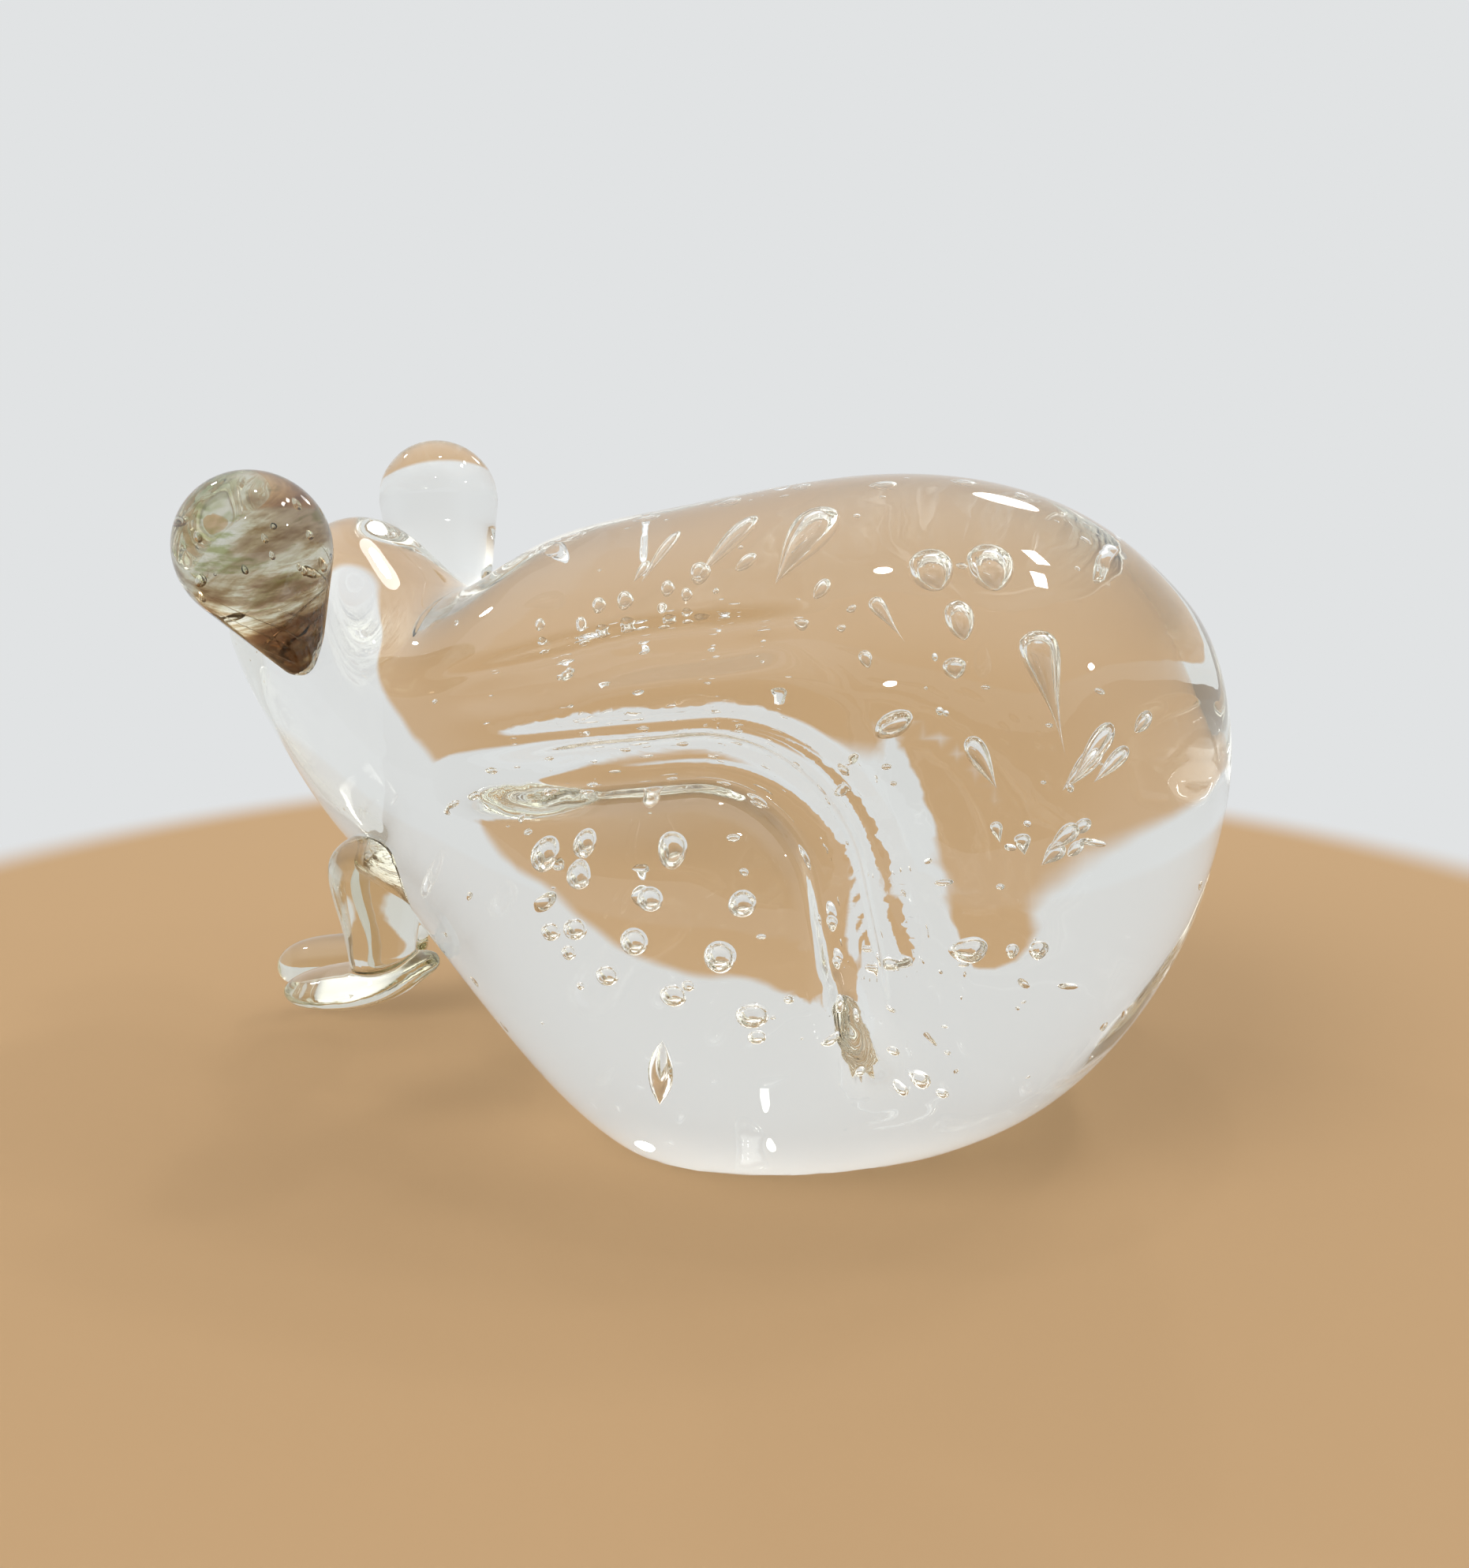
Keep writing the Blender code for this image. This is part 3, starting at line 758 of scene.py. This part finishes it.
def bubble_shapes():
    """The shapes of trapped air, modelled once, with their faces turned to the air.

    Each starts as a ball, and its rings are drawn in: a drop thins to one end, a leaf to both.
    """
    shapes = {}
    for name, (sides, rings, thinning) in BUBBLE_SHAPES.items():
        bpy.ops.object.select_all(action="DESELECT")
        bpy.ops.mesh.primitive_uv_sphere_add(segments=sides, ring_count=rings, radius=1)
        shape = bpy.context.object
        shape.name = "bubble_" + name
        bpy.ops.object.mode_set(mode="EDIT")
        angles = [math.pi * ring / rings for ring in range(1, rings)]
        halves = 1 if name == "leaf" else 2
        drawn_in = [math.sin(angle / halves) ** thinning for angle in angles]
        widest = max(math.sin(angle) * size for angle, size in zip(angles, drawn_in))
        for angle, size in zip(angles, drawn_in):
            height = math.cos(angle)
            pick(shape, lambda co: abs(co.z - height) < 0.001)
            size /= widest
            bpy.ops.transform.resize(value=(size, size, 1), center_override=(0, 0, height))
        bpy.ops.mesh.select_all(action="SELECT")
        bpy.ops.mesh.flip_normals()
        bpy.ops.object.mode_set(mode="OBJECT")
        bpy.ops.object.shade_smooth()
        shapes[name] = shape
    return shapes


def place_bubble(shape, middle, along, outward, sizes):
    """A copy of a bubble: sizes are its radii across, outward and along, in mm."""
    along = along.normalized()
    outward = (outward - along * outward.dot(along)).normalized()
    turn = Matrix((outward.cross(along), outward, along)).transposed().to_4x4()
    made = shape.copy()
    made.data = shape.data.copy()
    bpy.context.scene.collection.objects.link(made)
    stretch = Matrix.Diagonal((sizes[0] * MM, sizes[1] * MM, sizes[2] * MM, 1))
    made.matrix_world = Matrix.Translation(middle) @ turn @ stretch
    return made


def under_skin(skin, start, way, depth):
    """A spot this deep under the skin, the way along the body there, and the way out."""
    spot, outward = skin.ray_cast(start, way)[:2]
    along = Vector((0, -1, 0))
    along = (along - outward * along.dot(outward)).normalized()
    return spot - outward * depth * MM, along, outward


def trap_bubbles(body, shapes, skin):
    """The air in the body: bubbles between the two gathers, air under the crease, and fine seeds."""
    chance = random.Random(11)
    air = []
    for place, height, radius in FLANK_BUBBLES:
        start = Vector((0, place, height)) * MM
        spot, outward = skin.ray_cast(start, Vector((1, 0, 0)))[:2]
        middle = Vector((spot.x - LAYER * MM / outward.x, spot.y, spot.z))
        sizes = (radius, radius * 0.9, radius * chance.uniform(0.95, 1.15))
        air.append(place_bubble(shapes["round"], middle, Vector((0, -1, 0)), outward, sizes))
    for name, round_end, thin_end, radius in DRAWN_BUBBLES:
        round_end, thin_end = Vector(round_end) * MM, Vector(thin_end) * MM
        along = thin_end - round_end
        sizes = (radius, radius * 0.9, along.length / 2 / MM)
        middle = (round_end + thin_end) / 2
        air.append(place_bubble(shapes[name], middle, along, Vector((1, 0, 0.3)), sizes))
    # The spiked mould's rows; on the near flank the tables above say where its air lies
    for row, angle in enumerate(MOULD_ROWS):
        high = angle > SHOULDER_ROW
        for column in range(HIGH_COLUMNS if high else LOW_COLUMNS):
            place = MOULD_START + (column + 0.5 * (row % 2)) * MOULD_PITCH + chance.uniform(-1.4, 1.4)
            turn = math.radians(angle + chance.uniform(-4, 4))
            start = Vector((0, place * MM, BODY_MIDDLE * MM))
            way = Vector((-math.cos(turn), 0, math.sin(turn)))
            middle, along, outward = under_skin(skin, start, way, LAYER + chance.uniform(-0.8, 1.5))
            radius = chance.uniform(0.7, 1.2) if high else chance.uniform(0.4, 0.8)
            sizes = (radius, radius * 0.9, radius * chance.uniform(1, 1.7))
            air.append(place_bubble(shapes["egg"], middle, along, outward, sizes))
    # Air under the near crease, which its walls spread into streaks
    side, _, _, *route = CREASES[1]
    for point in crease_points(*route)[2::3]:
        for sideways in (-1.4, 1.2):
            place = point.x + sideways + chance.uniform(-1, 1)
            start = Vector((0, place * MM, (point.y + sideways) * MM))
            deep = CREASE_AIR_DEPTH + chance.uniform(-1, 1)
            middle, along, outward = under_skin(skin, start, Vector((side, 0, 0)), deep)
            radius = chance.uniform(0.3, 0.6)
            sizes = (radius, radius * 0.9, radius * chance.uniform(1, 1.6))
            air.append(place_bubble(shapes["egg"], middle, along, outward, sizes))
    for count in range(BODY_SEEDS):
        place = chance.uniform(-30, 44)
        turn = math.radians(chance.uniform(-50, 230))
        start = Vector((0, place * MM, BODY_MIDDLE * MM))
        way = Vector((math.cos(turn), 0, math.sin(turn)))
        middle, along, outward = under_skin(skin, start, way, chance.uniform(4, 14))
        radius = chance.uniform(0.12, 0.32)
        sizes = (radius, radius, radius * chance.uniform(1, 2.2))
        air.append(place_bubble(shapes["seed"], middle, along, outward, sizes))
    join_air(body, air)


def join_air(piece, air):
    """Makes trapped air part of a piece's own mesh."""
    bpy.ops.object.select_all(action="DESELECT")
    for bubble in air:
        bubble.select_set(True)
    piece.select_set(True)
    bpy.context.view_layer.objects.active = piece
    bpy.ops.object.join()


def air_thread(points, thickness):
    """A thin thread of air, drawn out to nothing at both ends. Thickness is its radius in mm."""
    route = bpy.data.curves.new("air_thread", "CURVE")
    route.dimensions = "3D"
    route.bevel_depth = thickness * MM
    route.bevel_resolution = 1
    route.use_fill_caps = True
    spline = route.splines.new("POLY")
    spline.points.add(len(points) - 1)
    for index, point in enumerate(points):
        share = index / (len(points) - 1)
        spline.points[index].co = (*point, 1)
        spline.points[index].radius = 0.15 + 0.85 * math.sin(math.pi * share)
    select_only(new_object("air_thread", route))
    bpy.ops.object.convert(target="MESH")
    thread = bpy.context.object
    bpy.ops.object.mode_set(mode="EDIT")
    bpy.ops.mesh.select_all(action="SELECT")
    bpy.ops.mesh.remove_doubles(threshold=THREAD_MERGE * MM)
    bpy.ops.mesh.normals_make_consistent(inside=True)
    bpy.ops.object.mode_set(mode="OBJECT")
    bpy.ops.object.shade_smooth()
    return thread


def stain_glass(name):
    """Streaks of brown and olive glass, stirred in as the bead was gathered, and clear between them."""
    material, tree = empty_material(name)
    swirl = add_node(tree, "ShaderNodeAttribute", {"attribute_name": "swirl"})
    split = add_node(tree, "ShaderNodeSeparateXYZ", {}, {"Vector": swirl.outputs["Vector"]})
    streaks = add_node(
        tree,
        "ShaderNodeTexNoise",
        {},
        {"Vector": swirl.outputs["Vector"], "Scale": 1.1, "Detail": 5, "Roughness": 0.62},
    )
    # The olive gathers in the crown and the brown towards the tip
    gathered = add_node(
        tree,
        "ShaderNodeMath",
        {"operation": "MULTIPLY_ADD"},
        {0: split.outputs["Z"], 1: 0.05, 2: streaks.outputs["Fac"]},
    )
    tones = add_node(tree, "ShaderNodeValToRGB", {}, {"Fac": gathered.outputs["Value"]})
    ramp = tones.color_ramp
    ramp.elements[0].position = 0.34
    ramp.elements[0].color = colour("#A3866F")
    ramp.elements[1].position = 0.64
    ramp.elements[1].color = colour("#CDD3AE")
    for at, code in ((0.43, "#CDBBA2"), (0.5, "#F4F2E8"), (0.57, "#FFFFFF")):
        ramp.elements.new(at).color = colour(code)
    sheet = add_node(tree, "ShaderNodeBsdfTransparent", {}, {"Color": tones.outputs["Color"]})
    add_node(tree, "ShaderNodeOutputMaterial", {}, {"Surface": sheet.outputs["BSDF"]})
    return material


def stain(bead, sizes, root, axis):
    """A thin stirred sheet inside a bead, from its crown down to its tip, twisted as it goes."""
    radius, standoff = sizes[:2]
    sheet = copy_of(bead, "stain")
    select_only(sheet)
    bpy.ops.object.mode_set(mode="EDIT")
    bpy.ops.mesh.select_all(action="SELECT")
    bpy.ops.transform.shrink_fatten(value=-STAIN_DEPTH * MM)
    bpy.ops.object.mode_set(mode="OBJECT")
    middle = root + axis * standoff * MM
    upright = axis.to_track_quat("Z", "Y").to_matrix().transposed()
    swirl = sheet.data.attributes.new("swirl", "FLOAT_VECTOR", "POINT")
    for vert, spot in zip(sheet.data.vertices, swirl.data):
        off = upright @ (vert.co - middle) / MM
        twist = math.atan2(off.y, off.x) + STAIN_TWIST * off.z / radius
        wide = math.hypot(off.x, off.y) / radius
        spot.vector = (wide * math.cos(twist), wide * math.sin(twist), STAIN_RISE * off.z / radius)
    return sheet


def stir_air_into(bead, sizes, root, axis, shapes):
    """Threads of air twisted towards the tip where the bead was sheared off, and seeds over them."""
    chance = random.Random(5)
    radius, standoff, neck = sizes[:3]
    middle = root + axis * standoff * MM
    upright = axis.to_track_quat("Z", "Y").to_matrix()
    air = []
    for count in range(EYE_THREADS):
        turn = math.radians(360 * count / EYE_THREADS + chance.uniform(-12, 12))
        high = chance.uniform(-4.5, -0.5)
        wide = math.sqrt((radius - 1) ** 2 - high * high) * chance.uniform(0.75, 0.97)
        low = -standoff - neck * 0.5
        points = []
        for step in range(THREAD_STEPS + 1):
            share = step / THREAD_STEPS
            off = wide + (0.5 - wide) * share ** 1.3
            spin = turn + math.radians(THREAD_TURN) * share
            along = high + (low - high) * share
            spot = Vector((off * math.cos(spin), off * math.sin(spin), along))
            points.append(middle + upright @ spot * MM)
        air.append(air_thread(points, chance.uniform(0.05, 0.13)))
    for count in range(EYE_SEEDS):
        turn = math.radians(chance.uniform(0, 360))
        tilt = math.radians(chance.uniform(60, 130))
        far = radius * chance.uniform(0.5, 0.9)
        way = Vector((math.sin(tilt) * math.cos(turn), math.sin(tilt) * math.sin(turn), math.cos(tilt)))
        spot = middle + upright @ way * far * MM
        size = chance.uniform(0.14, 0.36)
        sizes = (size, size, size * chance.uniform(1, 1.8))
        air.append(place_bubble(shapes["egg"], spot, axis, upright @ way, sizes))
    join_air(bead, air)


def build_camera():
    lens = bpy.data.cameras.new("camera")
    lens.lens = SENSOR_HEIGHT * FOCAL_PIXELS / FRAME_HEIGHT
    lens.clip_start = 5 * MM
    lens.clip_end = 50
    camera = new_object("camera", lens)
    turn, down = math.radians(CAMERA_TURN), math.radians(CAMERA_DOWN)
    back = Vector((math.sin(turn) * math.cos(down), -math.cos(turn) * math.cos(down), math.sin(down)))
    camera.location = (Vector(CAMERA_PLACE) + STAND) * MM
    camera.rotation_mode = "QUATERNION"
    camera.rotation_quaternion = (-back).to_track_quat("-Z", "Y")
    bpy.context.scene.camera = camera


def shown_rays(tree):
    """1 for what the camera sees, directly, in a gloss or through glass."""
    path = add_node(tree, "ShaderNodeLightPath")
    seen = add_node(
        tree,
        "ShaderNodeMath",
        {"operation": "MAXIMUM"},
        {0: path.outputs["Is Camera Ray"], 1: path.outputs["Is Glossy Ray"]},
    )
    return add_node(
        tree,
        "ShaderNodeMath",
        {"operation": "MAXIMUM"},
        {0: seen.outputs["Value"], 1: path.outputs["Is Transmission Ray"]},
    ).outputs["Value"]


def build_floor():
    """A pale matt floor, warm round the frog and the backdrop's own tone further off."""
    bpy.ops.object.select_all(action="DESELECT")
    bpy.ops.mesh.primitive_plane_add(size=6, location=(0, 0, -FLOOR_GAP * MM))
    floor = bpy.context.object
    floor.name = "floor"
    material, tree = empty_material("Matt pale floor")
    where = add_node(tree, "ShaderNodeTexCoord")
    reach = add_node(
        tree,
        "ShaderNodeVectorMath",
        {"operation": "LENGTH"},
        {0: where.outputs["Object"]},
    )
    begins, ends = FLOOR_TONE_ENDS
    outer = add_node(
        tree,
        "ShaderNodeMapRange",
        {"interpolation_type": "SMOOTHSTEP"},
        {"Value": reach.outputs["Value"], "From Min": begins * MM, "From Max": ends * MM},
    )
    near = add_node(
        tree,
        "ShaderNodeBsdfPrincipled",
        {},
        {"Base Color": colour(FLOOR_TONE), "Roughness": 0.9, "Specular IOR Level": 0.2},
    )
    far = add_node(tree, "ShaderNodeBsdfDiffuse", {}, {"Color": colour(BACKDROP)})
    glow = add_node(tree, "ShaderNodeEmission", {}, {"Color": colour(BACKDROP), "Strength": 1})
    far_shown = add_node(
        tree,
        "ShaderNodeMixShader",
        {},
        {0: shown_rays(tree), 1: far.outputs["BSDF"], 2: glow.outputs["Emission"]},
    )
    surface = add_node(
        tree,
        "ShaderNodeMixShader",
        {},
        {0: outer.outputs["Result"], 1: near.outputs["BSDF"], 2: far_shown.outputs["Shader"]},
    )
    add_node(tree, "ShaderNodeOutputMaterial", {}, {"Surface": surface.outputs["Shader"]})
    floor.data.materials.append(material)


def build_surroundings():
    """The plain backdrop, and for glass a brighter tone overhead and a dim one on the near side.

    That turns the bubbles silvery and the edges of the glass dark.
    """
    world = bpy.data.worlds.new("studio")
    bpy.context.scene.world = world
    world.use_nodes = True
    tree = world.node_tree
    tree.nodes.clear()
    path = add_node(tree, "ShaderNodeLightPath")
    where = add_node(tree, "ShaderNodeTexCoord")
    split = add_node(tree, "ShaderNodeSeparateXYZ", {}, {"Vector": where.outputs["Generated"]})
    overhead = add_node(
        tree,
        "ShaderNodeMapRange",
        {"interpolation_type": "SMOOTHSTEP"},
        {"Value": split.outputs["Z"], "From Min": 0.35, "From Max": 0.95},
    )
    near_side = add_node(
        tree,
        "ShaderNodeMapRange",
        {"interpolation_type": "SMOOTHSTEP"},
        {"Value": split.outputs["X"], "From Min": 0.1, "From Max": 0.8},
    )
    upper_tone = add_node(
        tree,
        "ShaderNodeMix",
        {"data_type": "RGBA"},
        {"Factor": overhead.outputs["Result"], "A": colour(BACKDROP), "B": colour(OVERHEAD_TONE)},
    )
    tone = add_node(
        tree,
        "ShaderNodeMix",
        {"data_type": "RGBA"},
        {
            "Factor": near_side.outputs["Result"],
            "A": upper_tone.outputs["Result"],
            "B": colour(NEAR_SIDE_TONE),
        },
    )
    # The floor is lit at the backdrop's level; only glass sees the brighter tone overhead
    in_glass = add_node(
        tree,
        "ShaderNodeMath",
        {"operation": "SUBTRACT"},
        {0: 1, 1: path.outputs["Is Diffuse Ray"]},
    )
    high = add_node(
        tree,
        "ShaderNodeMath",
        {"operation": "MULTIPLY"},
        {0: overhead.outputs["Result"], 1: in_glass.outputs["Value"]},
    )
    glow = add_node(
        tree,
        "ShaderNodeMath",
        {"operation": "MULTIPLY_ADD"},
        {0: high.outputs["Value"], 1: OVERHEAD_GLOW, 2: 1},
    )
    around = add_node(
        tree,
        "ShaderNodeBackground",
        {},
        {"Color": tone.outputs["Result"], "Strength": glow.outputs["Value"]},
    )
    plain = add_node(tree, "ShaderNodeBackground", {}, {"Color": colour(BACKDROP), "Strength": 1})
    shown = add_node(
        tree,
        "ShaderNodeMixShader",
        {},
        {
            0: path.outputs["Is Camera Ray"],
            1: around.outputs["Background"],
            2: plain.outputs["Background"],
        },
    )
    add_node(tree, "ShaderNodeOutputWorld", {}, {"Surface": shown.outputs["Shader"]})


def hang_light(name, shape, way, away, width, height, power):
    """A light that hangs this far out, this way from the frog, and shines back at it."""
    lamp = bpy.data.lights.new(name, "AREA")
    lamp.shape = shape
    lamp.size = width
    lamp.size_y = height
    lamp.energy = power
    light = new_object(name, lamp)
    way = Vector(way).normalized()
    light.location = way * away
    light.rotation_mode = "QUATERNION"
    light.rotation_quaternion = way.to_track_quat("Z", "Y")
    return light


def build_lights():
    for shape, way, width, height, power in GLINTS:
        hang_light("glint", shape, way, GLINTS_AWAY, width, height, power)
    for way, width, power, in_gloss in SOFT_LIGHTS:
        soft = hang_light("soft_light", "DISK", way, SOFT_LIGHTS_AWAY, width, width, power)
        soft.visible_glossy = in_gloss
        soft.visible_transmission = False


def move_to_stand(obj):
    select_only(obj)
    obj.location = STAND * MM
    bpy.ops.object.transform_apply(location=True, rotation=True, scale=True)


def lay_in(piece, sheet, material):
    """Joins a stained sheet to its finished bead, as a second material."""
    move_to_stand(sheet)
    sheet.data.materials.append(material)
    select_only(piece)
    sheet.select_set(True)
    bpy.ops.object.join()


def finish_piece(piece, material, slot, *nodes):
    """Gives a piece its place and glass, and lets it stand for its CAD nodes. The slot is not used."""
    move_to_stand(piece)
    piece.data.materials.append(material)
    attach(piece, "root")
    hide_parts(*nodes)


def build():
    body_glass = hot_worked_glass("Fire-polished soda-lime glass", "#EDEEE4", 5, 0.04)
    eye_glass = hot_worked_glass("Fire-polished soda-lime glass, thick bead", "#B9B890", 32, 0.1)
    clear_eye_glass = hot_worked_glass("Fire-polished soda-lime glass, bead", "#EDF1E7", 14, 0.03)
    leg_glass = hot_worked_glass("Fire-polished soda-lime glass, drawn bit", "#D2CFA8", 50, 0.03)

    bulge = BODY_END_BULGE * MM
    body = drawn_out("body_glass", BODY_SIDES, False, body_rings(), bulge, BODY_LEVELS)
    press_creases(body)
    grind_foot(body)
    skin = surface_of(body)
    seat = copy_of(body, "seat")
    select_only(seat)
    bpy.ops.object.mode_set(mode="EDIT")
    bpy.ops.mesh.select_all(action="SELECT")
    bpy.ops.transform.shrink_fatten(value=-SEAT_DEPTH * MM)
    bpy.ops.object.mode_set(mode="OBJECT")

    shapes = bubble_shapes()
    left_eye, root, axis = eye("left_eye_glass", LEFT_EYE, skin, seat)
    stained = stain(left_eye, LEFT_EYE, root, axis)
    stir_air_into(left_eye, LEFT_EYE, root, axis, shapes)
    right_eye, _, _ = eye("right_eye_glass", RIGHT_EYE, skin, seat)
    left_leg = foreleg("left_foreleg_glass", LEFT_ROOT, LEFT_SHANK, LEFT_FOOT, skin, seat)
    right_leg = foreleg("right_foreleg_glass", RIGHT_ROOT, RIGHT_SHANK, RIGHT_FOOT, skin, seat)
    bpy.data.objects.remove(seat)

    trap_bubbles(body, shapes, skin)
    for shape in shapes.values():
        bpy.data.objects.remove(shape)

    finish_piece(body, body_glass, "body_glass", "body_casing", "inner_gather")
    finish_piece(left_eye, eye_glass, "eye_glass", "left_eye")
    lay_in(left_eye, stained, stain_glass("Stirred-in iron-stained soda-lime glass"))
    finish_piece(right_eye, clear_eye_glass, "eye_glass", "right_eye")
    finish_piece(left_leg, leg_glass, "leg_glass", "left_foreleg")
    finish_piece(right_leg, leg_glass, "leg_glass", "right_foreleg")


build_camera()
build_floor()
build_surroundings()
build_lights()
build()

scene = bpy.context.scene
scene.view_settings.view_transform = "Standard"
# Light crosses many faces in glass with bubbles
scene.cycles.max_bounces = 40
scene.cycles.transmission_bounces = 40
scene.cycles.glossy_bounces = 16
